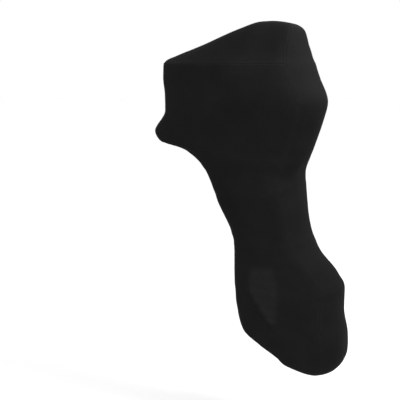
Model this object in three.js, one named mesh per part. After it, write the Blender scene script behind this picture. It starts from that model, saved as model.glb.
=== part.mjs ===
// A full-length fitted cloth cover for a tilted outboard motor: hollow, open at the front of the leg.
// Millimetres. +X points aft, +Y to starboard, +Z up, and the motor leans with its foot swung aft.
// The origin is under the crown of the roof, where the cover rests on the top of the cowl.
//
// The outer surface is lofted through stations. Each station is a closed section that joins a point on
// the fore outline to a point on the aft outline. The panels are cut from that surface along its seams.
import * as THREE from "three";

// Cloth
const CLOTH = 2; // thickness of the coated cloth
const HEM_WIDTH = 28; // turned-in hem round the mouth
const HEM_EXTRA = 1.6; // what the folded hem adds on the inside
const HEM_STEP = 3; // over which the hem's fold runs out
const SEAM_GAP = 0.3; // between two panels that are sewn together

// Stations from the roof's ridge down to the keel under the foot. Their heights are counted from the
// outer face of the crown, and the origin lies one thickness of cloth below it.
// fore and aft: the two ends on the centre plane. crest: how far the section bows up between them.
// front, side, aftSide: half-widths at the fore bend, midway and at the aft bend.
// foreBend, aftBend: length of the rounded bends.
const STATION_COLUMNS = [
  "foreX", "foreZ", "aftX", "aftZ", "crest", "front", "side", "aftSide", "foreBend", "aftBend",
];
const STATIONS = {
  ridge: [-505, -157, 145, -34, 69.4, 0, 0, 0, 40, 60],
  crown: [-506, -158, 148, -35, 69.4, 70, 45, 28, 40, 60],
  topEdge: [-510, -165, 158, -43, 68, 125, 88, 56, 50, 60],
  overEave: [-514, -176, 196, -160, 7, 156, 216, 104, 66, 105],
  eave: [-515, -183, 207, -182, 0, 160, 234, 110, 70, 110],
  brow: [-520, -240, 233, -240, 0, 160, 248, 115, 80, 120],
  widest: [-514, -330, 278, -350, 0, 155, 250, 112, 80, 120],
  dent: [-514, -395, 267, -420, 0, 155, 245, 112, 80, 120],
  bump: [-598, -508, 245, -495, 0, 140, 235, 115, 90, 120],
  chin: [-558, -553, 222, -564, 0, 150, 225, 115, 90, 110],
  throat: [-405, -585, 205, -610, 0, 155, 215, 115, 90, 110],
  waist: [-272, -680, 184, -668, 0, 160, 200, 112, 90, 100],
  legTop: [-205, -830, 204, -800, 0, 150, 175, 108, 80, 100],
  mouthEnd: [-137, -990, 236, -930, 0, 120, 155, 98, 80, 100],
  leg: [-125, -1080, 286, -1030, 0, 110, 148, 94, 70, 100],
  plate: [-122, -1220, 384, -1126, 0, 110, 150, 92, 70, 100],
  plateLow: [-115, -1290, 418, -1187, 0, 110, 155, 100, 70, 110],
  gearcase: [-105, -1360, 421, -1290, 0, 110, 160, 112, 70, 120],
  prop: [-68, -1480, 446, -1420, 0, 110, 160, 125, 70, 120],
  heel: [36, -1536, 452, -1498, 0, 106, 148, 118, 70, 120],
  sole: [130, -1574, 441, -1543, -24, 102, 134, 95, 60, 110],
  soleIn: [148, -1600, 424, -1570, -27, 90, 100, 64, 60, 100],
  keel: [156, -1609, 408, -1580, -28, 0, 0, 0, 60, 100],
};
// How a bowed section rises between its fore end (0) and its aft end (1).
const CREST_SHAPE = { at: [0, 0.33, 0.6, 0.7, 0.79, 0.93, 1], rise: [0, 0.46, 0.9, 0.98, 0.87, 0.46, 0] };
const BEND_FULLNESS = 0.7; // of the rounded bends: 0.55 would make them elliptical, and 1 nearly square

// Rings between each station and the next
const RINGS_BETWEEN = 2;
// Places round half a section, from the fore centre (0) to the aft centre (1)
const FORE_SEAM = 0.125;
const FORE_BEND_END = 0.25;
const AFT_BEND_START = 0.75;
const AFT_SEAM = 0.82;
const PLACES = [
  0, 0.045, 0.09, FORE_SEAM, 0.165, 0.2, FORE_BEND_END,
  0.3, 0.35, 0.4, 0.45, 0.5, 0.55, 0.6, 0.65, 0.7, AFT_BEND_START,
  0.785, AFT_SEAM, 0.85, 0.88, 0.92, 0.96, 1,
];
const HALF = PLACES.length - 1;
const AROUND = 2 * HALF;

// Soft folds in the cloth, each from one point to another in the side view. A positive rise stands out.
const FOLD_COLUMNS = ["side", "x0", "z0", "x1", "z1", "width", "rise"];
const FOLD_RUN_OUT = 90; // distance from the centre plane at which a fold has its full rise
const PORT = -1;
const STARBOARD = 1;
const FOLDS = [
  [PORT, 225, -470, -40, -760, 55, -5],
  [PORT, 200, -640, 40, -1010, 45, 4],
  [PORT, -470, -560, -180, -660, 40, -4],
  [PORT, 55, -1150, 140, -1330, 70, 7],
  [PORT, 12, -1225, 140, -1362, 32, 6],
  [PORT, -35, -1265, 110, -1415, 42, -5],
  [PORT, 330, -1150, 190, -1330, 50, -4],
  [PORT, -60, -990, -20, -1130, 40, -4],
  [STARBOARD, 235, -440, 0, -700, 60, -6],
  [STARBOARD, 180, -680, 30, -960, 50, 4],
  [STARBOARD, -440, -540, -200, -690, 45, -4],
  [STARBOARD, 0, -1240, 70, -1390, 60, 7],
  [STARBOARD, 350, -1170, 170, -1360, 50, -4],
];

// The cubic through the given points that never overshoots them.
function smoothCurve(at, value) {
  const last = at.length - 1;
  const step = at.slice(1).map((x, i) => x - at[i]);
  const rate = step.map((width, i) => (value[i + 1] - value[i]) / width);
  const endSlope = (h0, h1, r0, r1) => {
    const slope = ((2 * h0 + h1) * r0 - h0 * r1) / (h0 + h1);
    if (slope * r0 <= 0) return 0;
    if (r0 * r1 <= 0 && Math.abs(slope) > 3 * Math.abs(r0)) return 3 * r0;
    return slope;
  };
  const slope = at.map((_, i) => {
    if (i === 0) return endSlope(step[0], step[1], rate[0], rate[1]);
    if (i === last) return endSlope(step[last - 1], step[last - 2], rate[last - 1], rate[last - 2]);
    if (rate[i - 1] * rate[i] <= 0) return 0;
    const before = 2 * step[i] + step[i - 1];
    const after = step[i] + 2 * step[i - 1];
    return (before + after) / (before / rate[i - 1] + after / rate[i]);
  });
  return (x) => {
    const next = at.findIndex((knot, i) => i > 0 && x <= knot);
    const i = next < 0 ? last - 1 : next - 1;
    const t = (x - at[i]) / step[i];
    const t2 = t * t;
    const t3 = t2 * t;
    const points = (2 * t3 - 3 * t2 + 1) * value[i] + (3 * t2 - 2 * t3) * value[i + 1];
    const slopes = (t3 - 2 * t2 + t) * slope[i] + (t3 - t2) * slope[i + 1];
    return points + step[i] * slopes;
  };
}

const crestAt = smoothCurve(CREST_SHAPE.at, CREST_SHAPE.rise);

// A rounded bend from the centre plane (0) to the full half-width (1), as shares of its length and width.
function bend(t) {
  const s = 1 - t;
  return {
    along: 3 * s * t * t * (1 - BEND_FULLNESS) + t * t * t,
    across: 3 * s * s * t * BEND_FULLNESS + 3 * s * t * t + t * t * t,
  };
}

// The point of a section at a place round its half, on the given side.
function sectionPoint(section, place, side) {
  const length = Math.hypot(section.aftX - section.foreX, section.aftZ - section.foreZ);
  const fore = section.foreBend / length;
  const aft = section.aftBend / length;
  const between = (place - FORE_BEND_END) / (AFT_BEND_START - FORE_BEND_END);
  let along = fore + (1 - fore - aft) * between;
  let across = 1;
  if (place < FORE_BEND_END) {
    const quarter = bend(place / FORE_BEND_END);
    along = fore * quarter.along;
    across = quarter.across;
  } else if (place > AFT_BEND_START) {
    const quarter = bend((1 - place) / (1 - AFT_BEND_START));
    along = 1 - aft * quarter.along;
    across = quarter.across;
  }
  // The flank is a parabola through the three half-widths.
  const straight = (1 - along) * section.front + along * section.aftSide;
  const bulge = section.side - (section.front + section.aftSide) / 2;
  const halfWidth = straight + 4 * along * (1 - along) * bulge;
  const height = section.foreZ + (section.aftZ - section.foreZ) * along + section.crest * crestAt(along);
  return new THREE.Vector3(
    section.foreX + (section.aftX - section.foreX) * along,
    side * across * halfWidth,
    CLOTH + height,
  );
}

const stationNames = Object.keys(STATIONS);
const stationRows = stationNames.map((name) =>
  Object.fromEntries(STATION_COLUMNS.map((column, i) => [column, STATIONS[name][i]])),
);

// How far down the cover each station lies, measured along its side.
const stationDepth = [0];
for (let i = 1; i < stationRows.length; i += 1) {
  const [a, b] = [stationRows[i - 1], stationRows[i]];
  const dx = (b.foreX + b.aftX - a.foreX - a.aftX) / 2;
  const dz = (b.foreZ + b.aftZ - a.foreZ - a.aftZ) / 2;
  stationDepth.push(stationDepth[i - 1] + Math.hypot(dx, dz, b.side - a.side));
}

const columnCurves = STATION_COLUMNS.map((column) =>
  smoothCurve(stationDepth, stationRows.map((row) => row[column])),
);

function sectionAt(depth) {
  return Object.fromEntries(STATION_COLUMNS.map((column, i) => [column, columnCurves[i](depth)]));
}

function depthOf(name) {
  return stationDepth[stationNames.indexOf(name)];
}

// The mouth runs from the chin down to mouthEnd. Its hems need rings of their own on both sides of it.
const hemDepths = [
  depthOf("chin") - HEM_WIDTH - HEM_STEP,
  depthOf("chin") - HEM_WIDTH,
  depthOf("mouthEnd") + HEM_WIDTH,
  depthOf("mouthEnd") + HEM_WIDTH + HEM_STEP,
];
const ringDepths = [...hemDepths];
stationDepth.forEach((depth, i) => {
  if (i === 0) return;
  const above = stationDepth[i - 1];
  for (let k = 0; k < RINGS_BETWEEN; k += 1) {
    ringDepths.push(above + ((depth - above) * k) / RINGS_BETWEEN);
  }
});
ringDepths.push(stationDepth[stationDepth.length - 1]);
ringDepths.sort((a, b) => a - b);
const LAST_RING = ringDepths.length - 1;

function ringOf(name) {
  return ringDepths.indexOf(depthOf(name));
}

// Columns count from the fore centre round the port side to the aft centre, and back up the starboard side.
function placeOf(column) {
  const wrapped = (column + AROUND) % AROUND;
  return wrapped <= HALF
    ? { place: PLACES[wrapped], side: PORT }
    : { place: PLACES[AROUND - wrapped], side: STARBOARD };
}

// The ridge and the keel are lines, where the port and starboard columns meet.
function vertexOf(ring, column) {
  const wrapped = (column + AROUND) % AROUND;
  const isLine = ring === 0 || ring === LAST_RING;
  return ring * AROUND + (isLine && wrapped > HALF ? AROUND - wrapped : wrapped);
}

function distanceToFold(fold, x, z) {
  const along = { x: fold.x1 - fold.x0, z: fold.z1 - fold.z0 };
  const squared = along.x * along.x + along.z * along.z;
  const share = ((x - fold.x0) * along.x + (z - fold.z0) * along.z) / squared;
  const nearest = THREE.MathUtils.clamp(share, 0, 1);
  return Math.hypot(x - fold.x0 - nearest * along.x, z - fold.z0 - nearest * along.z);
}

const folds = FOLDS.map((row) => Object.fromEntries(FOLD_COLUMNS.map((column, i) => [column, row[i]])));

// Folds run out towards the centre plane, so that the two sides meet smoothly.
function foldRise(point) {
  const offCentre = THREE.MathUtils.smoothstep(Math.abs(point.y), 0, FOLD_RUN_OUT);
  return folds
    .filter((fold) => fold.side * point.y > 0)
    .reduce((rise, fold) => {
      const distance = distanceToFold(fold, point.x, point.z) / fold.width;
      return rise + offCentre * fold.rise * Math.exp(-distance * distance);
    }, 0);
}

// The whole surface, closed over the ridge, the keel and the mouth, with a normal at each point.
function surfaceNormals(points) {
  const faces = [];
  for (let ring = 0; ring < LAST_RING; ring += 1) {
    for (let column = 0; column < AROUND; column += 1) {
      const a = vertexOf(ring, column);
      const b = vertexOf(ring, column + 1);
      const c = vertexOf(ring + 1, column + 1);
      const d = vertexOf(ring + 1, column);
      faces.push(a, d, b, b, d, c);
    }
  }
  const geometry = new THREE.BufferGeometry().setFromPoints(points);
  geometry.setIndex(faces);
  geometry.computeVertexNormals();
  const normals = geometry.getAttribute("normal");
  return points.map((_, i) => new THREE.Vector3().fromBufferAttribute(normals, i));
}

const points = [];
ringDepths.forEach((depth) => {
  const section = sectionAt(depth);
  for (let column = 0; column < AROUND; column += 1) {
    const { place, side } = placeOf(column);
    points.push(sectionPoint(section, place, side));
  }
});
const smoothNormals = surfaceNormals(points);
points.forEach((point, i) => point.addScaledVector(smoothNormals[i], foldRise(point)));
const normals = surfaceNormals(points);

// The hem is folded in along the mouth: on the side panels' fore edges and on the front panels' ends.
const CHIN = ringOf("chin");
const MOUTH_END = ringOf("mouthEnd");
const FORE_COLUMN = PLACES.indexOf(FORE_SEAM);
const AFT_COLUMN = PLACES.indexOf(AFT_SEAM);
const HEM_COLUMN = FORE_COLUMN + 1;

function isHem(ring, column) {
  const wrapped = (column + AROUND) % AROUND;
  const half = Math.min(wrapped, AROUND - wrapped);
  const besideMouth = ring >= CHIN && ring <= MOUTH_END && half >= FORE_COLUMN && half <= HEM_COLUMN;
  const overMouth = ring >= CHIN - 1 && ring <= CHIN && half <= FORE_COLUMN;
  const underMouth = ring >= MOUTH_END && ring <= MOUTH_END + 1 && half <= FORE_COLUMN;
  return besideMouth || overMouth || underMouth;
}

// One panel of cloth between two rings and two columns, or all the way round.
function makePanel(firstRing, lastRing, firstColumn, lastColumn) {
  const goesRound = lastColumn - firstColumn === AROUND;
  const columnCount = goesRound ? AROUND : lastColumn - firstColumn + 1;
  const outer = [];
  const inner = [];
  const idOf = new Map();

  const shiftFrom = (vertex, point, neighbour) => {
    const towards = points[neighbour].clone().sub(points[vertex]);
    point.addScaledVector(towards.normalize(), SEAM_GAP / 2);
  };

  const addPoint = (ring, column) => {
    const vertex = vertexOf(ring, column);
    if (idOf.has(vertex)) return;
    idOf.set(vertex, outer.length);
    const point = points[vertex].clone();
    if (ring === firstRing && ring > 0) shiftFrom(vertex, point, vertexOf(ring + 1, column));
    if (ring === lastRing && ring < LAST_RING) shiftFrom(vertex, point, vertexOf(ring - 1, column));
    if (!goesRound && column === firstColumn) shiftFrom(vertex, point, vertexOf(ring, column + 1));
    if (!goesRound && column === lastColumn) shiftFrom(vertex, point, vertexOf(ring, column - 1));
    outer.push(point);
    const thickness = isHem(ring, column) ? CLOTH + HEM_EXTRA : CLOTH;
    inner.push(point.clone().addScaledVector(normals[vertex], -thickness));
  };
  for (let ring = firstRing; ring <= lastRing; ring += 1) {
    for (let k = 0; k < columnCount; k += 1) addPoint(ring, firstColumn + k);
  }

  const id = (ring, column) => idOf.get(vertexOf(ring, column));
  const layer = outer.length;
  const faces = [];
  for (let ring = firstRing; ring < lastRing; ring += 1) {
    for (let column = firstColumn; column < lastColumn; column += 1) {
      const a = id(ring, column);
      const b = id(ring, column + 1);
      const c = id(ring + 1, column + 1);
      const d = id(ring + 1, column);
      faces.push(a, d, b, b, d, c);
      faces.push(layer + a, layer + b, layer + d, layer + b, layer + c, layer + d);
    }
  }
  // The two panels at a seam split the wall between them along the same diagonal.
  const addEdge = (fromVertex, toVertex) => {
    const a = idOf.get(fromVertex);
    const b = idOf.get(toVertex);
    if (fromVertex < toVertex) faces.push(a, b, layer + b, a, layer + b, layer + a);
    else faces.push(a, b, layer + a, b, layer + b, layer + a);
  };
  for (let column = firstColumn; column < lastColumn; column += 1) {
    if (firstRing > 0) addEdge(vertexOf(firstRing, column), vertexOf(firstRing, column + 1));
    if (lastRing < LAST_RING) addEdge(vertexOf(lastRing, column + 1), vertexOf(lastRing, column));
  }
  for (let ring = firstRing; ring < lastRing && !goesRound; ring += 1) {
    addEdge(vertexOf(ring + 1, firstColumn), vertexOf(ring, firstColumn));
    addEdge(vertexOf(ring, lastColumn), vertexOf(ring + 1, lastColumn));
  }
  const geometry = new THREE.BufferGeometry().setFromPoints([...outer, ...inner]);
  geometry.setIndex(faces);
  geometry.computeVertexNormals();
  return geometry;
}

const EAVE = ringOf("eave");
const SOLE = ringOf("sole");
const PANELS = [
  { name: "roof_panel", rings: [0, EAVE], columns: [-AFT_COLUMN, AFT_COLUMN] },
  { name: "front_panel", rings: [EAVE, CHIN], columns: [-FORE_COLUMN, FORE_COLUMN] },
  { name: "port_side_panel", rings: [EAVE, SOLE], columns: [FORE_COLUMN, AFT_COLUMN] },
  { name: "aft_panel", rings: [0, SOLE], columns: [AFT_COLUMN, AROUND - AFT_COLUMN] },
  { name: "starboard_side_panel", rings: [EAVE, SOLE], columns: [AROUND - AFT_COLUMN, AROUND - FORE_COLUMN] },
  { name: "leg_front_panel", rings: [MOUTH_END, SOLE], columns: [-FORE_COLUMN, FORE_COLUMN] },
  { name: "toe_panel", rings: [SOLE, LAST_RING], columns: [0, AROUND] },
];

const cover = new THREE.Group();
const coatedCloth = { color: 0x1c1c1d, roughness: 0.62, metalness: 0 };
PANELS.forEach(({ name, rings, columns }) => {
  const mesh = new THREE.Mesh(makePanel(...rings, ...columns), new THREE.MeshStandardMaterial(coatedCloth));
  mesh.name = name;
  cover.add(mesh);
});

export default cover;
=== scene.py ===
"""Looks of a full-length fitted cloth cover for a tilted outboard motor: sewn panels, hems and stitching.

Metres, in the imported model's frame: +X aft, +Y to starboard, +Z up, origin under the crown of the roof.
"""

import math

import bmesh
import bpy
import numpy as np
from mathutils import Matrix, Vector


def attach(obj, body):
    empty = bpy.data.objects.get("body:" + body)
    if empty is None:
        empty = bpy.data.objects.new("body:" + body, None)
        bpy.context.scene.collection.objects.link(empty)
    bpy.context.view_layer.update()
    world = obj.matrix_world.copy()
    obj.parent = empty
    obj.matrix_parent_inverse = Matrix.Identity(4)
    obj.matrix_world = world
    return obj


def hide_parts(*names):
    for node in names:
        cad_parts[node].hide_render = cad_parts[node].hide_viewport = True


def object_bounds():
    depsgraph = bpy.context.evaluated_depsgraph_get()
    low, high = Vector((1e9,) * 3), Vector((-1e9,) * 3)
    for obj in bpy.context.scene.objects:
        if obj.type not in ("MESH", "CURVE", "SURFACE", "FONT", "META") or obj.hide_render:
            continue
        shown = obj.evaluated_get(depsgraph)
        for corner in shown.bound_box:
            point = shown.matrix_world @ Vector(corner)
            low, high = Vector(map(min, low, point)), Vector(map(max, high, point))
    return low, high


MM = 0.001

# Cloth
CLOTH = 1.4 * MM  # thickness of the coated cloth
HEM_WIDTH = 28 * MM  # turned-in hem round the mouth
HEM_EXTRA = 1.8 * MM  # what the folded hem adds on the inside
SEAM_GAP = 0.3 * MM  # between two panels that are sewn together

# Stations of the cover in millimetres, from the roof's ridge down to the keel under the foot.
# fore and aft: the two ends on the centre plane. crest: how far the section bows up between them.
# front, side, aft_side: half-widths at the fore bend, midway and at the aft bend.
# fore_bend, aft_bend: how long the rounded bends at the two ends are.
STATION_COLUMNS = (
    "fore_x", "fore_z", "aft_x", "aft_z", "crest", "front", "side", "aft_side", "fore_bend", "aft_bend",
)
STATIONS = {
    "ridge": (-505, -157, 145, -34, 69.4, 0, 0, 0, 40, 60),
    "crown": (-506, -158, 148, -35, 69.4, 70, 45, 28, 40, 60),
    "top_edge": (-510, -165, 158, -43, 68, 125, 88, 56, 50, 60),
    "over_eave": (-514, -176, 196, -160, 7, 156, 216, 104, 66, 105),
    "eave": (-515, -183, 207, -182, 0, 160, 234, 110, 70, 110),
    "brow": (-520, -240, 233, -240, 0, 160, 248, 115, 80, 120),
    "widest": (-514, -330, 278, -350, 0, 155, 250, 112, 80, 120),
    "dent": (-514, -395, 267, -420, 0, 155, 245, 112, 80, 120),
    "bump": (-598, -508, 245, -495, 0, 140, 235, 115, 90, 120),
    "chin": (-558, -553, 222, -564, 0, 150, 225, 115, 90, 110),
    "throat": (-405, -585, 205, -610, 0, 155, 215, 115, 90, 110),
    "waist": (-272, -680, 184, -668, 0, 160, 200, 112, 90, 100),
    "leg_top": (-205, -830, 204, -800, 0, 150, 175, 108, 80, 100),
    "mouth_end": (-137, -990, 236, -930, 0, 120, 155, 98, 80, 100),
    "leg": (-125, -1080, 286, -1030, 0, 110, 148, 94, 70, 100),
    "plate": (-122, -1220, 384, -1126, 0, 110, 150, 92, 70, 100),
    "plate_low": (-115, -1290, 418, -1187, 0, 110, 155, 100, 70, 110),
    "gearcase": (-105, -1360, 421, -1290, 0, 110, 160, 112, 70, 120),
    "prop": (-68, -1480, 446, -1420, 0, 110, 160, 125, 70, 120),
    "heel": (36, -1536, 452, -1498, 0, 106, 148, 118, 70, 120),
    "sole": (130, -1574, 441, -1543, -24, 102, 134, 95, 60, 110),
    "sole_in": (148, -1600, 424, -1570, -27, 90, 100, 64, 60, 100),
    "keel": (156, -1609, 408, -1580, -28, 0, 0, 0, 60, 100),
}
OUTER_LIFT = 2 * MM  # the stations' heights count from the crown's outer face
# Rise of a bowed section, in shares of its crest, at places from its fore end (0) to its aft end (1)
CREST_AT = (0, 0.33, 0.6, 0.7, 0.79, 0.93, 1)
CREST_RISE = (0, 0.46, 0.9, 0.98, 0.87, 0.46, 0)
BEND_FULLNESS = 0.7  # of the rounded bends: 0.55 would make them elliptical, and 1 nearly square

# Turns run round a section from the fore centre (0) over the port side to the aft centre (1) and back (2).
FORE_SEAM = 0.125
FORE_BEND_END = 0.25
AFT_BEND_START = 0.75
AFT_SEAM = 0.82

# Folds, each from one point to another in the side view, in millimetres. A positive rise stands out.
PORT = -1
STARBOARD = 1
FOLD_RUN_OUT = 90 * MM  # distance from the centre plane at which a fold has its full rise
MAIN_FOLDS = (  # side, x0, z0, x1, z1, width, rise
    (PORT, 225, -470, -40, -760, 55, -5),
    (PORT, 200, -640, 40, -1010, 45, 4),
    (PORT, -470, -560, -180, -660, 40, -4),
    (PORT, 55, -1150, 140, -1330, 70, 7),
    (PORT, 12, -1225, 140, -1362, 32, 6),
    (PORT, -35, -1265, 110, -1415, 42, -5),
    (PORT, 330, -1150, 190, -1330, 50, -4),
    (PORT, -60, -990, -20, -1130, 40, -4),
    (STARBOARD, 235, -440, 0, -700, 60, -6),
    (STARBOARD, 180, -680, 30, -960, 50, 4),
    (STARBOARD, -440, -540, -200, -690, 45, -4),
    (STARBOARD, 0, -1240, 70, -1390, 60, 7),
    (STARBOARD, 350, -1170, 170, -1360, 50, -4),
)
# Finer pull lines, from the tight places into the slack cloth. The last seven rows are no pull lines: three
# sharpen the form on the port side of the gearcase, and four trim the aft outline at the eave and the crown.
FINE_FOLDS = (  # side, x0, z0, x1, z1, width, rise
    (PORT, 178, -655, 60, -560, 16, 1.6),
    (PORT, 180, -690, 30, -640, 18, -1.4),
    (PORT, 186, -720, 20, -760, 16, 1.5),
    (PORT, -500, -545, -330, -480, 18, 1.4),
    (PORT, -420, -585, -250, -560, 16, -1.3),
    (PORT, -300, -665, -120, -640, 16, 1.5),
    (PORT, -225, -800, -60, -720, 18, -1.5),
    (PORT, -140, -985, 0, -930, 15, 1.5),
    (PORT, -135, -1010, 10, -1040, 14, -1.3),
    (PORT, 250, -960, 110, -1020, 18, 1.4),
    (PORT, 395, -1150, 260, -1170, 16, 1.5),
    (PORT, 410, -1200, 240, -1250, 18, -1.4),
    (PORT, -100, -1330, 60, -1290, 20, 1.3),
    (PORT, 60, -1545, 160, -1450, 18, 1.3),
    (STARBOARD, 180, -650, 50, -570, 16, 1.6),
    (STARBOARD, 184, -705, 20, -700, 18, -1.4),
    (STARBOARD, -480, -550, -320, -470, 18, 1.4),
    (STARBOARD, -290, -670, -110, -660, 16, 1.5),
    (STARBOARD, -215, -815, -50, -750, 18, -1.5),
    (STARBOARD, -140, -990, 10, -950, 15, 1.5),
    (STARBOARD, 260, -980, 120, -1050, 18, 1.4),
    (STARBOARD, 400, -1160, 250, -1190, 16, 1.5),
    (STARBOARD, -100, -1350, 70, -1310, 20, 1.3),
    (STARBOARD, 70, -1545, 170, -1460, 18, 1.3),
    (PORT, 14, -1222, 145, -1360, 18, 3),
    (PORT, -8, -1248, 122, -1384, 18, -2.5),
    (PORT, 22, -1112, 120, -1095, 16, -2),
    (PORT, 183, -130, 200, -170, 30, 3),
    (PORT, 158, -50, 176, -88, 28, -4),
    (STARBOARD, 183, -130, 200, -170, 30, 3),
    (STARBOARD, 158, -50, 176, -88, 28, -4),
)
# Painted highlight on the gearcase's bulge, mirrored on starboard. The rise is the share of pale colour.
PAINTED_HIGHLIGHT_PATCHES = (  # side, x0, z0, x1, z1, width, rise
    (PORT, 34, -1132, 118, -1118, 26, 0.8),
    (PORT, 30, -1172, 136, -1166, 26, 0.8),
    (PORT, 40, -1216, 144, -1214, 26, 0.9),
    (PORT, 66, -1260, 148, -1262, 26, 0.8),
    (PORT, 102, -1304, 150, -1308, 22, 0.8),
    (PORT, 130, -1340, 152, -1346, 16, 0.7),
    (STARBOARD, 60, -1180, 110, -1290, 50, 0.7),
)

# Slack in the cloth between its folds: wavelength and height
SLACK = ((160 * MM, 0.8 * MM), (50 * MM, 0.22 * MM))
WOBBLE_WAVES = 7  # added up into one smooth noise
WOBBLE_LENGTHS = (0.7, 1.5)  # of these waves, in shares of the noise's wavelength
WOBBLE_PEAK = 3  # about the highest that they add up to

# Distances of the grid's lines from a panel's edges, and the spacing between them further in
SEAM_LINES = np.array(
    [SEAM_GAP / 2, 0.9 * MM, 1.8 * MM, 3 * MM, 4.5 * MM, 6.5 * MM, 8.5 * MM, 10.5 * MM, 13 * MM]
)
HEM_LINES = np.array([16, 19, 22, 24.5, 26.5, 28.5, 31, 34]) * MM
NEAR = {
    None: SEAM_LINES[:0],
    "seam": SEAM_LINES,
    "hem": np.concatenate([SEAM_LINES, HEM_LINES]),
    "mouth": np.concatenate([SEAM_LINES, HEM_LINES]),
}
SPACING = 7 * MM
ROW_SAMPLES = 161  # down a panel, for measuring it before its lines are placed
TURN_SAMPLES = 401  # across a panel
NORMAL_REACH = 1 * MM  # from a point, up and down, to where its normal is measured
TURN_REACH = 0.003  # the same round the section
FAR = 1.0  # distance of a point from a kind of edge that its panel doesn't have
ON_CENTRE = 0.01 * MM  # a point this near the centre plane lies on it
JOIN_REACH = 0.02 * MM  # points on the centre plane this near each other are one

# Seams and stitching
SEAM_GROOVE = 0.9 * MM
SEAM_GROOVE_WIDTH = 1.3 * MM
SEAM_RIDGE = 0.5 * MM
SEAM_BAND = 9.5 * MM  # width of the raised seam allowance on each side
SEAM_BAND_SLOPE = 1.5 * MM  # half the width over which it falls off
HEM_SLOPE = 1 * MM  # the same at the turned-in edge of a hem
PUCKER = 0.35 * MM  # height of the small waves that a seam draws up
PUCKER_LENGTH = 22 * MM
PUCKER_REACH = 14 * MM
STITCH_LINE = 4.5 * MM  # from the seam
HEM_STITCH_LINE = 26.5 * MM  # from the hem's edge
STITCH_DIP = 0.35 * MM  # how far the thread draws the cloth in
STITCH_DIP_WIDTH = 1.1 * MM
HEM_DIP_WIDTH = 1.6 * MM
STITCH_PITCH = 4.2 * MM
STITCH_LENGTH = 3.3 * MM
STITCH_RADIUS = 0.42 * MM
STITCH_RISE = 0.1 * MM
STITCH_SIDES = 5
STITCH_SHOULDER = 0.28  # where a stitch has its full radius, in shares of its length from the middle
STITCH_TUCK = 0.6  # how deep its ends dip into the cloth, in shares of its radius
STITCH_AIM = 1 * MM  # to each side of a stitch's middle, over which its direction is measured
WEAR_REACH = 5 * MM  # how far the pale wear along seams and hems reaches
SEAM_WEAR = 0.3  # share of wear at the seams and hems themselves

# Panels: the stations at their top and bottom, the turns they reach across, and what their four edges are
EDGES = ("top", "bottom", "first", "last")
PANELS = (
    ("roof", ("ridge", "eave"), (-AFT_SEAM, AFT_SEAM), (None, "seam", "seam", "seam")),
    ("front", ("eave", "chin"), (-FORE_SEAM, FORE_SEAM), ("seam", "hem", "seam", "seam")),
    ("port_side", ("eave", "sole"), (FORE_SEAM, AFT_SEAM), ("seam", "seam", "mouth", "seam")),
    ("aft", ("ridge", "sole"), (AFT_SEAM, 2 - AFT_SEAM), (None, "seam", "seam", "seam")),
    ("starboard_side", ("eave", "sole"), (2 - AFT_SEAM, 2 - FORE_SEAM), ("seam", "seam", "seam", "mouth")),
    ("leg_front", ("mouth_end", "sole"), (-FORE_SEAM, FORE_SEAM), ("hem", "seam", "seam", "seam")),
    ("toe", ("sole", "keel"), (0, 2), ("seam", None, None, None)),
)

# Finish of the cloth's two faces, and of the thread
OUTSIDE = {
    "color": (0.0056, 0.0056, 0.0058),
    # pale colour mixed in for wear along seams and hems, and for the painted highlight on the gearcase's
    # bulge
    "wear_and_highlight_color": (0.0124, 0.0124, 0.0126),
    "roughness": 0.66,
    "relief": 0.9,
    "specular": 0.012,
}
INSIDE = {
    "color": (0.02, 0.02, 0.0205),
    # the same for the inside: pale wear along seams and hems, and the painted highlight on the gearcase's
    # bulge
    "wear_and_highlight_color": (0.026, 0.026, 0.0265),
    "roughness": 0.55,
    "relief": 0.4,
    "specular": 0.2,
}
SLOW_NOISE = {"Scale": 6.0, "Detail": 4.0, "Roughness": 0.55}
FINE_NOISE = {"Scale": 160.0, "Detail": 3.0, "Roughness": 0.6}
NOISE_RANGE = (0.3, 0.7)  # where most of a noise texture's values lie
TONE_RANGE = (0.86, 1.14)  # of the slow variation in tone
GLOSS_RANGE = (-0.04, 0.05)  # of the slow variation in roughness
GRAIN_RELIEF = (0.25, 0.3 * MM)  # strength and depth
WEAVE_DEPTH = 0.12 * MM
# Painted shade between the threads and painted highlight on them, as shares of the cloth's colour
WEAVE_PAINTED_SHADE_AND_HIGHLIGHT = (0.72, 1.18)  # tone between the threads and on them
WEAVE_PITCH = 0.7 * MM
WAVE_REPEAT = math.pi / 10  # distance between the bands of a wave texture at scale 1
THREAD_COLOR = (0.0085, 0.0085, 0.009)
THREAD_ROUGHNESS = 0.5
THREAD_SPECULAR = 0.08
TWIST_NOISE = {"Scale": 900.0, "Detail": 2.0}
TWIST_RELIEF = (0.4, 0.1 * MM)

# The photograph's view: a 400 x 400 frame with a focal length of 500 pixels
CAMERA_AT = (1.0916, -2.1007, -0.2051)
CAMERA_AZIMUTH = math.radians(35)
CAMERA_PITCH = math.radians(14.6)
FOCAL_SHARE = 500 / 400
SENSOR = 36  # millimetres
CLIP = (0.05, 100)

# Studio: a soft box from aft, a wide sun from port, an even white world, and a pale floor
KEY_PLACE = (1.4, 0.5, 1.2)
KEY_AIM = (0.15, 0, -0.3)
KEY_SIZE = 1.0
KEY_POWER = 94  # watts
SUN_FROM = (0.5, -0.7, 0.5)
SUN_ANGLE = math.radians(40)
SUN_STRENGTH = 3.4
WORLD_COLOR = (1, 1, 1)
WORLD_STRENGTH = 1
FLOOR_COLOR = (0.65, 0.65, 0.65)
FLOOR_ROUGHNESS = 0.85
FLOOR_SPECULAR = 0.1
FLOOR_GAP = 0.4  # between the floor and the lowest point of the cover, which hangs
FLOOR_RADIUS = 30
FLOOR_SIDES = 96


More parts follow.
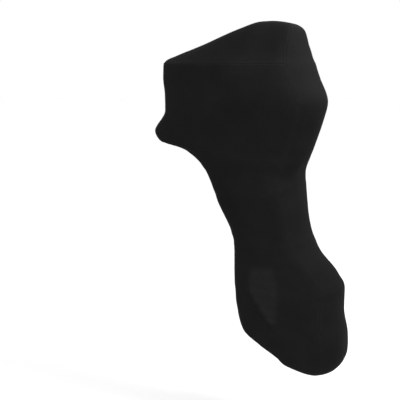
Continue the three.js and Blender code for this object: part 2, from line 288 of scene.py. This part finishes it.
def smooth_curve(at, value):
    """The cubic through the given points that never overshoots them."""
    at, value = np.asarray(at, float), np.asarray(value, float)
    step = np.diff(at)
    rate = np.diff(value) / step

    def end_slope(h0, h1, r0, r1):
        slope = ((2 * h0 + h1) * r0 - h0 * r1) / (h0 + h1)
        if slope * r0 <= 0:
            return 0.0
        if r0 * r1 <= 0 and abs(slope) > 3 * abs(r0):
            return 3 * r0
        return slope

    slope = np.zeros(len(at))
    slope[0] = end_slope(step[0], step[1], rate[0], rate[1])
    slope[-1] = end_slope(step[-1], step[-2], rate[-1], rate[-2])
    for i in range(1, len(at) - 1):
        if rate[i - 1] * rate[i] > 0:
            before = 2 * step[i] + step[i - 1]
            after = step[i] + 2 * step[i - 1]
            slope[i] = (before + after) / (before / rate[i - 1] + after / rate[i])

    def curve(x):
        i = np.clip(np.searchsorted(at, x) - 1, 0, len(step) - 1)
        t = (x - at[i]) / step[i]
        points = (2 * t**3 - 3 * t**2 + 1) * value[i] + (3 * t**2 - 2 * t**3) * value[i + 1]
        slopes = (t**3 - 2 * t**2 + t) * slope[i] + (t**3 - t**2) * slope[i + 1]
        return points + step[i] * slopes

    return curve


# Depths run down the cloth from the ridge (0) to the keel (END), in metres.
COLUMNS = dict(zip(STATION_COLUMNS, np.array(list(STATIONS.values()), float).T * MM))
MIDDLE_STEP = [(np.diff(COLUMNS["fore_" + axis]) + np.diff(COLUMNS["aft_" + axis])) / 2 for axis in "xz"]
SIDE_STEP = np.diff(COLUMNS["side"])
DEPTHS = np.concatenate([[0], np.cumsum(np.hypot(np.hypot(*MIDDLE_STEP), SIDE_STEP))])
DEPTH = dict(zip(STATIONS, DEPTHS))
END = DEPTHS[-1]
CURVES = {name: smooth_curve(DEPTHS, values) for name, values in COLUMNS.items()}
CREST_CURVE = smooth_curve(CREST_AT, CREST_RISE)


def smoothstep(low, high, x):
    """A soft step from 0 at low to 1 at high."""
    t = np.clip((x - low) / (high - low), 0, 1)
    return t * t * (3 - 2 * t)


def bell(distance, width):
    """A soft rise: 1 at no distance, and almost nothing at two widths."""
    return np.exp(-((distance / width) ** 2))


def bend(t):
    """A rounded bend from the centre plane (0) to the full half-width (1): shares of its length and width."""
    s = 1 - t
    along = 3 * s * t**2 * (1 - BEND_FULLNESS) + t**3
    across = 3 * s**2 * t * BEND_FULLNESS + 3 * s * t**2 + t**3
    return along, across


def base_point(depth, turn):
    """Points of the outer surface before its folds."""
    section = {name: curve(depth) for name, curve in CURVES.items()}
    turn = np.mod(turn, 2)
    side = np.where(turn <= 1, PORT, STARBOARD)
    place = np.where(turn <= 1, turn, 2 - turn)
    run = np.stack([section["aft_x"] - section["fore_x"], section["aft_z"] - section["fore_z"]])
    length = np.hypot(*run)
    fore, aft = section["fore_bend"] / length, section["aft_bend"] / length
    fore_along, fore_across = bend(np.clip(place / FORE_BEND_END, 0, 1))
    aft_along, aft_across = bend(np.clip((1 - place) / (1 - AFT_BEND_START), 0, 1))
    between = (place - FORE_BEND_END) / (AFT_BEND_START - FORE_BEND_END)
    in_fore, in_aft = place < FORE_BEND_END, place > AFT_BEND_START
    along = fore + (1 - fore - aft) * between
    along = np.where(in_fore, fore * fore_along, np.where(in_aft, 1 - aft * aft_along, along))
    across = np.where(in_fore, fore_across, np.where(in_aft, aft_across, 1.0))
    straight = (1 - along) * section["front"] + along * section["aft_side"]
    bulge = section["side"] - (section["front"] + section["aft_side"]) / 2
    half_width = straight + 4 * along * (1 - along) * bulge
    x = section["fore_x"] + run[0] * along
    z = OUTER_LIFT + section["fore_z"] + run[1] * along + section["crest"] * CREST_CURVE(along)
    return np.stack([x, side * across * half_width, z], -1)


def base_normal(depth, turn):
    """Outward normals of the outer surface before its folds."""
    depth = np.clip(depth, 2 * NORMAL_REACH, END - 2 * NORMAL_REACH)
    down = base_point(depth + NORMAL_REACH, turn) - base_point(depth - NORMAL_REACH, turn)
    around = base_point(depth, turn + TURN_REACH) - base_point(depth, turn - TURN_REACH)
    normal = np.cross(down, around)
    return normal / np.linalg.norm(normal, axis=-1, keepdims=True)


def fold_rise(points, folds):
    """Height of soft folds at each point. They run out towards the centre plane."""
    off_centre = smoothstep(0, FOLD_RUN_OUT, np.abs(points[..., 1]))
    flat = points[..., [0, 2]]
    rise = np.zeros(points.shape[:-1])
    for side, x0, z0, x1, z1, width, height in folds:
        start, end = np.array([x0, z0]) * MM, np.array([x1, z1]) * MM
        share = np.clip((flat - start) @ (end - start) / ((end - start) @ (end - start)), 0, 1)
        distance = np.linalg.norm(flat - start - share[..., None] * (end - start), axis=-1)
        on_side = side * points[..., 1] > 0
        rise += np.where(on_side, height * MM * bell(distance, width * MM), 0) * off_centre
    return rise


def wobble(points, wavelength):
    """Smooth seeded noise between about -1 and 1, at one rough wavelength."""
    random = np.random.default_rng(int(wavelength / MM))
    total = np.zeros(points.shape[:-1])
    for _ in range(WOBBLE_WAVES):
        direction = random.normal(size=3)
        direction /= np.linalg.norm(direction)
        scale = 2 * math.pi / (wavelength * random.uniform(*WOBBLE_LENGTHS))
        total += np.sin(points @ direction * scale + random.uniform(0, 2 * math.pi))
    return total / WOBBLE_PEAK


def distances(total, first, last):
    """Distances from one edge to the other for each line: set lines beside the edges, even ones between."""
    total = np.asarray(total, float)[..., None]
    first_reach = first[-1] if len(first) else 0.0
    last_reach = last[-1] if len(last) else 0.0
    count = max(2, int(round((total.max() - first_reach - last_reach) / SPACING)))
    skip_first, skip_last = int(len(first) > 0), int(len(last) > 0)
    shares = np.linspace(0, 1, count + 1)[skip_first : count + 1 - skip_last]
    middle = first_reach + (total - first_reach - last_reach) * shares
    parts = [np.broadcast_to(first, total.shape[:-1] + (len(first),)), middle, total - last[::-1]]
    return np.concatenate(parts, -1)


def interpolate_rows(targets, known, values):
    """np.interp for each row by itself."""
    return np.stack([np.interp(t, k, v) for t, k, v in zip(targets, known, values)])


def length_along(points, axis):
    """Distance of each point of a line, or of a grid's lines, from the line's first point."""
    steps = np.linalg.norm(np.diff(points, axis=axis), axis=-1)
    zero = np.zeros_like(np.take(steps, [0], axis=axis))
    return np.cumsum(np.concatenate([zero, steps], axis=axis), axis=axis)


def grid_quads(rows, columns):
    """Rows and columns of the four corners of each quad in a grid."""
    i, j = np.meshgrid(np.arange(rows - 1), np.arange(columns - 1), indexing="ij")
    corner_rows = np.stack([i, i + 1, i + 1, i], -1).reshape(-1, 4)
    corner_columns = np.stack([j, j, j + 1, j + 1], -1).reshape(-1, 4)
    return corner_rows, corner_columns


def index_near(distance):
    """Which of the lines beside a hemmed edge lies nearest to a distance from it."""
    return int(np.argmin(np.abs(NEAR["hem"] - distance)))


def line_at(edge, k):
    """Index of the grid's line that is k lines in from an edge."""
    lines = {
        "top": np.s_[k, :],
        "bottom": np.s_[-1 - k, :],
        "first": np.s_[:, k],
        "last": np.s_[:, -1 - k],
    }
    return lines[edge]


class Panel:
    """One panel of cloth: a grid of points on its outer and inner face, and their distances from its edges.

    edges says what each edge is: a seam, a hem, a seam that is hemmed along the mouth, or no edge (None).
    """

    def __init__(self, name, depths, turns, edges):
        self.name = name
        self.closed = turns[1] - turns[0] == 2
        self.edges = edges
        self.place_lines(depths, turns)
        self.shape_cloth()

    def place_lines(self, depth_range, turn_range):
        """Chooses the grid's lines by their real distances along the cloth."""
        rows = np.linspace(*depth_range, ROW_SAMPLES)
        dense = np.linspace(*turn_range, TURN_SAMPLES)
        across = length_along(base_point(rows[:, None], dense[None, :]), 1)
        if self.closed:
            count = 2 * int(round(across[:, -1].max() / SPACING / 2))  # even, so that both sides are alike
            wanted = across[:, -1:] * np.linspace(0, 1, count + 1)
        else:
            wanted = distances(across[:, -1], NEAR[self.edges["first"]], NEAR[self.edges["last"]])
        turns = interpolate_rows(wanted, across, np.broadcast_to(dense, across.shape))
        down = length_along(base_point(rows[:, None], turns), 0)
        lines = distances(down[-1], NEAR[self.edges["top"]], NEAR[self.edges["bottom"]])
        self.depth = interpolate_rows(lines, down.T, np.broadcast_to(rows, down.T.shape)).T
        at_rows = np.broadcast_to(rows, turns.T.shape)
        self.turn = interpolate_rows(self.depth.T, at_rows, turns.T).T
        self.from_first = interpolate_rows(self.depth.T, at_rows, wanted.T).T
        self.from_edge = {"top": lines.T, "bottom": down[-1] - lines.T}
        if not self.closed:
            self.from_edge["first"] = self.from_first
            self.from_edge["last"] = np.interp(self.depth, rows, across[:, -1]) - self.from_first

    def distance_to(self, kind):
        """Distance of each point from the nearest edge of a kind, "seam" or "hem"."""
        nearest = np.full(self.depth.shape, FAR)
        past_mouth = np.maximum(DEPTH["chin"] - self.depth, self.depth - DEPTH["mouth_end"])
        for edge, distance in self.from_edge.items():
            if self.edges[edge] == "mouth":
                off = past_mouth if kind == "hem" else -past_mouth
                nearest = np.minimum(nearest, np.hypot(distance, np.maximum(off, 0)))
            elif self.edges[edge] == kind:
                nearest = np.minimum(nearest, distance)
        return nearest

    def shape_cloth(self):
        """Lays the outer and the inner face of the cloth over the base surface."""
        base = base_point(self.depth, self.turn)
        normal = base_normal(self.depth, self.turn)
        on_centre = (self.depth <= 0) | (self.depth >= END)
        normal[..., 1] = np.where(on_centre, 0, normal[..., 1])
        self.normal = normal / np.linalg.norm(normal, axis=-1, keepdims=True)
        self.seam, self.hem = self.distance_to("seam"), self.distance_to("hem")
        self.outer = base + self.normal * self.cloth_rise(base)[..., None]
        folded = 1 - smoothstep(HEM_WIDTH - HEM_SLOPE, HEM_WIDTH + HEM_SLOPE, self.hem)
        self.inner = self.outer - self.normal * (CLOTH + HEM_EXTRA * folded)[..., None]

    def cloth_rise(self, base):
        """Height over the base surface: folds, slack, puckers, seams, and the dips under the stitches."""
        off_centre = smoothstep(0, FOLD_RUN_OUT, np.abs(base[..., 1]))
        rise = fold_rise(base, MAIN_FOLDS) + fold_rise(base, FINE_FOLDS)
        for wavelength, height in SLACK:
            rise += off_centre * height * wobble(base, wavelength)
        near_edge = np.exp(-np.minimum(self.seam, self.hem) / PUCKER_REACH)
        rise += PUCKER * wobble(base, PUCKER_LENGTH) * near_edge
        past_band = smoothstep(SEAM_BAND - SEAM_BAND_SLOPE, SEAM_BAND + SEAM_BAND_SLOPE, self.seam)
        rise += SEAM_RIDGE * (1 - past_band)
        rise -= SEAM_GROOVE * bell(self.seam, SEAM_GROOVE_WIDTH)
        rise -= STITCH_DIP * bell(self.seam - STITCH_LINE, STITCH_DIP_WIDTH)
        rise -= STITCH_DIP * bell(self.hem - HEM_STITCH_LINE, HEM_DIP_WIDTH)
        return rise

    def make(self):
        """The panel's closed mesh: outer face, inner face, and the walls at its edges."""
        rows, columns = self.depth.shape
        kept = columns - 1 if self.closed else columns  # a closed panel's last column is its first again
        layer = rows * kept
        index = np.arange(layer).reshape(rows, kept)[:, np.arange(columns) % kept]
        quads = grid_quads(rows, columns)
        outer = index[quads]
        inner = outer[:, ::-1] + layer
        walls = self.wall_quads(index, layer)
        points = np.concatenate([self.outer[:, :kept], self.inner[:, :kept]]).reshape(-1, 3)
        piece = make_object(self.name, points, np.concatenate([outer, inner, walls]))
        self.add_uv(piece.data, quads, len(walls))
        self.add_wear_and_highlight(piece.data, kept)
        inside = np.repeat([0, 1, 0], [len(outer), len(inner), len(walls)])
        piece.data.polygons.foreach_set("material_index", inside)
        join_line(piece)
        return piece

    def wall_quads(self, index, layer):
        """Quads between the outer and the inner face, all along the edges."""
        lines = []
        if self.edges["top"]:
            lines.append(index[0])
        if self.edges["bottom"]:
            lines.append(index[-1, ::-1])
        if not self.closed:
            lines += [index[::-1, 0], index[:, -1]]
        walls = [np.stack([w[:-1], w[1:], w[1:] + layer, w[:-1] + layer], -1) for w in lines]
        return np.concatenate(walls)

    def add_uv(self, mesh, quads, wall_count):
        """The cloth's own metric coordinates, from its first and its top edge. The walls have none."""
        on_cloth = np.stack([self.from_first, self.from_edge["top"]], -1)[quads]
        uv = np.concatenate([on_cloth, on_cloth[:, ::-1], np.zeros((wall_count, 4, 2))])
        mesh.uv_layers.new(name="cloth").data.foreach_set("uv", uv.ravel())

    def add_wear_and_highlight(self, mesh, kept):
        """Share of pale colour at each point: wear along seams and hems, and a painted highlight on the
        gearcase's bulge.
        """
        wear_and_highlight = np.exp(-np.minimum(self.seam, self.hem) / WEAR_REACH) * SEAM_WEAR
        # adds the painted highlight: paler colour where light falls on the bulge over the gearcase
        wear_and_highlight = (wear_and_highlight + fold_rise(self.outer, PAINTED_HIGHLIGHT_PATCHES) / MM)[:, :kept].ravel()
        attribute = mesh.attributes.new("wear_and_highlight", "FLOAT", "POINT")
        attribute.data.foreach_set("value", np.concatenate([wear_and_highlight, wear_and_highlight]))

    def stitch_lines(self):
        """Lines of points, with their normals, that the rows of stitching follow."""
        found = []
        for edge in self.from_edge:
            kind = self.edges[edge]
            if kind is None:
                continue
            line = line_at(edge, index_near(STITCH_LINE))
            found.append((self.outer[line], self.normal[line]))
            if kind == "seam":
                continue
            line = line_at(edge, index_near(HEM_STITCH_LINE))
            points, normals = self.outer[line], self.normal[line]
            if kind == "mouth":
                on_mouth = (self.depth[line] > DEPTH["chin"]) & (self.depth[line] < DEPTH["mouth_end"])
                points, normals = points[on_mouth], normals[on_mouth]
            found.append((points, normals))
        return found


def join_line(piece):
    """Joins the port and starboard points of the ridge or keel, where they meet on the centre plane."""
    mesh = bmesh.new()
    mesh.from_mesh(piece.data)
    middle = [v for v in mesh.verts if abs(v.co.y) < ON_CENTRE]
    bmesh.ops.remove_doubles(mesh, verts=middle, dist=JOIN_REACH)
    mesh.to_mesh(piece.data)
    mesh.free()
    piece.data.update()


def make_object(name, points, faces):
    """A smooth object of these points and faces. A face that names a corner twice is a triangle."""
    corners = [list(dict.fromkeys(face)) for face in faces.tolist()]
    mesh = bpy.data.meshes.new(name)
    mesh.from_pydata(points.tolist(), [], corners)
    mesh.shade_smooth()
    piece = bpy.data.objects.new(name, mesh)
    bpy.context.scene.collection.objects.link(piece)
    return piece


def stitch_shape():
    """One stitch, a small spindle. Its points are a share of its length, and radii sideways and upwards."""
    angles = [2 * math.pi * k / STITCH_SIDES for k in range(STITCH_SIDES)]
    points = [(-0.5, 0, -STITCH_TUCK)]
    for share in (-STITCH_SHOULDER, STITCH_SHOULDER):
        points += [(share, math.cos(angle), math.sin(angle)) for angle in angles]
    points.append((0.5, 0, -STITCH_TUCK))
    last = len(points) - 1
    faces = []
    for k in range(STITCH_SIDES):
        a, b = 1 + k, 1 + (k + 1) % STITCH_SIDES
        c, d = a + STITCH_SIDES, b + STITCH_SIDES
        faces += [(0, b, a, a), (a, b, d, c), (last, c, d, d)]
    return np.array(points), np.array(faces)


def stitches(line, normal):
    """Points and faces of one row of stitches along a line."""
    along = length_along(line, 0)

    def sample(at, values):
        return np.stack([np.interp(at, along, values[:, k]) for k in range(3)], -1)

    count = int(along[-1] / STITCH_PITCH)
    middle = (along[-1] - count * STITCH_PITCH) / 2 + STITCH_PITCH * (np.arange(count) + 0.5)
    centre, up = sample(middle, line), sample(middle, normal)
    forward = sample(middle + STITCH_AIM, line) - sample(middle - STITCH_AIM, line)
    forward /= np.linalg.norm(forward, axis=-1, keepdims=True)
    sideways = np.cross(up, forward)
    shape, corners = stitch_shape()
    points = (
        centre[:, None]
        + forward[:, None] * (shape[:, 0, None] * STITCH_LENGTH)
        + sideways[:, None] * (shape[:, 1, None] * STITCH_RADIUS)
        + up[:, None] * (shape[:, 2, None] * STITCH_RADIUS + STITCH_RISE)
    )
    faces = corners + np.arange(count)[:, None, None] * len(shape)
    return points.reshape(-1, 3), faces.reshape(-1, 4)


def make_stitching(panel):
    """All rows of stitching on one panel, as one piece."""
    points, faces, total = [], [], 0
    for line, normal in panel.stitch_lines():
        row_points, row_faces = stitches(line, normal)
        points.append(row_points)
        faces.append(row_faces + total)
        total += len(row_points)
    name = panel.name.replace("cloth", "stitching")
    return make_object(name, np.concatenate(points), np.concatenate(faces))


# Materials


def new_material(name):
    """A material with its tree's nodes and links and its shader."""
    material = bpy.data.materials.new(name)
    material.use_nodes = True
    nodes, links = material.node_tree.nodes, material.node_tree.links
    shader = nodes["Principled BSDF"]
    return material, nodes, links, shader


def add_node(nodes, kind, **settings):
    """A node with these values at its inputs, or else as its properties."""
    node = nodes.new(kind)
    for key, value in settings.items():
        if key in node.inputs:
            node.inputs[key].default_value = value
        else:
            setattr(node, key, value)
    return node


def add_noise(nodes, links, settings):
    """Noise over the object's own coordinates."""
    place = nodes.new("ShaderNodeTexCoord")
    noise = add_node(nodes, "ShaderNodeTexNoise", **settings)
    links.new(place.outputs["Object"], noise.inputs["Vector"])
    return noise.outputs["Fac"]


def add_relief(nodes, links, height, strength, depth):
    """A bump node that raises the surface by a height from 0 to 1."""
    relief = add_node(nodes, "ShaderNodeBump", Strength=strength, Distance=depth)
    links.new(height, relief.inputs["Height"])
    return relief


def weave_height(nodes, links):
    """Height of a plain weave from 0 to 1, over the cloth's own metric coordinates."""
    uv = add_node(nodes, "ShaderNodeUVMap", uv_map="cloth")
    scale = WAVE_REPEAT / WEAVE_PITCH
    bands = []
    for direction in ("X", "Y"):
        wave = add_node(nodes, "ShaderNodeTexWave", Scale=scale, bands_direction=direction)
        links.new(uv.outputs["UV"], wave.inputs["Vector"])
        bands.append(wave.outputs["Fac"])
    checker = add_node(nodes, "ShaderNodeTexChecker", Scale=1 / WEAVE_PITCH)
    links.new(uv.outputs["UV"], checker.inputs["Vector"])
    over = nodes.new("ShaderNodeMix")
    links.new(checker.outputs["Fac"], over.inputs["Factor"])
    links.new(bands[0], over.inputs["A"])
    links.new(bands[1], over.inputs["B"])
    return over.outputs["Result"]


def map_range(nodes, links, value, low, high, source=(0, 1)):
    """The value's range from source[0] to source[1], spread over low to high."""
    node = nodes.new("ShaderNodeMapRange")
    links.new(value, node.inputs["Value"])
    for socket, number in zip(("From Min", "From Max", "To Min", "To Max"), (*source, low, high)):
        node.inputs[socket].default_value = number
    return node.outputs["Result"]


def cloth_color(nodes, links, color, wear_and_highlight_color, slow, fine, weave):
    """Base colour: slow variation in tone, paler where the cloth is worn and where a highlight is painted,
    with painted shade between the threads and painted highlight on them.
    """
    tone = nodes.new("ShaderNodeValToRGB")
    for element, place, share in zip(tone.color_ramp.elements, NOISE_RANGE, TONE_RANGE):
        element.position = place
        element.color = (*(share * c for c in color), 1)
    links.new(slow, tone.inputs["Fac"])
    # this attribute holds wear along seams and hems, and the painted highlight on the gearcase's bulge
    wear_and_highlight = add_node(nodes, "ShaderNodeAttribute", attribute_name="wear_and_highlight")
    wear_and_highlight_share = add_node(nodes, "ShaderNodeMath", operation="MULTIPLY")
    links.new(wear_and_highlight.outputs["Fac"], wear_and_highlight_share.inputs[0])
    links.new(fine, wear_and_highlight_share.inputs[1])
    mix = nodes.new("ShaderNodeMixRGB")
    links.new(wear_and_highlight_share.outputs[0], mix.inputs["Fac"])
    links.new(tone.outputs["Color"], mix.inputs["Color1"])
    mix.inputs["Color2"].default_value = (*wear_and_highlight_color, 1)
    threads = add_node(nodes, "ShaderNodeVectorMath", operation="SCALE")
    links.new(mix.outputs["Color"], threads.inputs["Vector"])
    # painted shade between the threads and painted highlight on their crowns
    links.new(map_range(nodes, links, weave, *WEAVE_PAINTED_SHADE_AND_HIGHLIGHT), threads.inputs["Scale"])
    return threads.outputs["Vector"]


def cloth_material(name, color, wear_and_highlight_color, roughness, relief, specular):
    """Coated woven cloth: a fine plain weave with painted shade and highlight on its threads, slow variation
    in tone and gloss, paler worn places, and a painted highlight on the gearcase's bulge.
    """
    material, nodes, links, shader = new_material(name)
    slow = add_noise(nodes, links, SLOW_NOISE)
    fine = add_noise(nodes, links, FINE_NOISE)
    weave = weave_height(nodes, links)
    links.new(cloth_color(nodes, links, color, wear_and_highlight_color, slow, fine, weave), shader.inputs["Base Color"])
    low, high = GLOSS_RANGE
    gloss = map_range(nodes, links, slow, roughness + low, roughness + high, NOISE_RANGE)
    links.new(gloss, shader.inputs["Roughness"])
    grain = add_relief(nodes, links, fine, *GRAIN_RELIEF)
    threads = add_relief(nodes, links, weave, relief, WEAVE_DEPTH)
    links.new(grain.outputs["Normal"], threads.inputs["Normal"])
    links.new(threads.outputs["Normal"], shader.inputs["Normal"])
    shader.inputs["Specular IOR Level"].default_value = specular
    return material


def thread_material():
    """Twisted sewing thread."""
    material, nodes, links, shader = new_material("thread")
    twist = add_relief(nodes, links, add_noise(nodes, links, TWIST_NOISE), *TWIST_RELIEF)
    links.new(twist.outputs["Normal"], shader.inputs["Normal"])
    shader.inputs["Base Color"].default_value = (*THREAD_COLOR, 1)
    shader.inputs["Roughness"].default_value = THREAD_ROUGHNESS
    shader.inputs["Specular IOR Level"].default_value = THREAD_SPECULAR
    return material


def floor_material():
    material, _, _, shader = new_material("floor")
    shader.inputs["Base Color"].default_value = (*FLOOR_COLOR, 1)
    shader.inputs["Roughness"].default_value = FLOOR_ROUGHNESS
    shader.inputs["Specular IOR Level"].default_value = FLOOR_SPECULAR
    return material


# Studio and cover


def make_camera():
    """The camera at the photograph's viewing angle."""
    data = bpy.data.cameras.new("camera")
    data.sensor_width = SENSOR
    data.lens = FOCAL_SHARE * data.sensor_width
    data.clip_start, data.clip_end = CLIP
    camera = bpy.data.objects.new("camera", data)
    bpy.context.scene.collection.objects.link(camera)
    camera.location = CAMERA_AT
    level = math.cos(CAMERA_PITCH)
    forward = Vector(
        (-math.sin(CAMERA_AZIMUTH) * level, math.cos(CAMERA_AZIMUTH) * level, -math.sin(CAMERA_PITCH))
    )
    camera.rotation_euler = forward.to_track_quat("-Z", "Y").to_euler()
    bpy.context.scene.camera = camera


def add_light(name, kind, place, aim):
    """A light that the camera doesn't see. Returns its settings."""
    data = bpy.data.lights.new(name, kind)
    light = bpy.data.objects.new(name, data)
    bpy.context.scene.collection.objects.link(light)
    light.location = place
    light.rotation_euler = (Vector(aim) - Vector(place)).to_track_quat("-Z", "Y").to_euler()
    light.visible_camera = False
    return data


def make_lights():
    """The key, the sun and the world, with colours shown as they are."""
    key = add_light("key", "AREA", KEY_PLACE, KEY_AIM)
    key.size = KEY_SIZE
    key.energy = KEY_POWER
    sun = add_light("fill", "SUN", SUN_FROM, (0, 0, 0))
    sun.angle = SUN_ANGLE
    sun.energy = SUN_STRENGTH
    world = bpy.data.worlds.new("studio")
    world.use_nodes = True
    sky = world.node_tree.nodes["Background"]
    sky.inputs["Color"].default_value = (*WORLD_COLOR, 1)
    sky.inputs["Strength"].default_value = WORLD_STRENGTH
    bpy.context.scene.world = world
    bpy.context.scene.view_settings.view_transform = "Standard"


def make_floor(height):
    bpy.ops.mesh.primitive_circle_add(
        vertices=FLOOR_SIDES, radius=FLOOR_RADIUS, fill_type="NGON", location=(0, 0, height)
    )
    floor = bpy.context.object
    floor.name = "floor"
    floor.data.materials.append(floor_material())


def make_cover():
    """Each panel with its stitching, in the place of its CAD node."""
    outside = cloth_material("coated_cloth", **OUTSIDE)
    inside = cloth_material("coating", **INSIDE)
    thread = thread_material()
    for name, (top, bottom), turns, kinds in PANELS:
        edges = dict(zip(EDGES, kinds))
        panel = Panel(name + "_cloth", (DEPTH[top], DEPTH[bottom]), turns, edges)
        piece = panel.make()
        piece.data.materials.append(outside)
        piece.data.materials.append(inside)
        stitching = make_stitching(panel)
        stitching.data.materials.append(thread)
        for part in (piece, stitching):
            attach(part, "root")
        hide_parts(name + "_panel")


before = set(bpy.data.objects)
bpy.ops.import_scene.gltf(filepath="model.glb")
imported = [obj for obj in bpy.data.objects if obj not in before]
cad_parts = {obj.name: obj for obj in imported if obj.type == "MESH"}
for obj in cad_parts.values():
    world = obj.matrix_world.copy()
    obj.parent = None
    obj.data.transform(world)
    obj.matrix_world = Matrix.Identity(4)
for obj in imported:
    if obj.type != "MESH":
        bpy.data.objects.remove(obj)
cad_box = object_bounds()
make_camera()
make_lights()
make_floor(cad_box[0].z - FLOOR_GAP)
make_cover()
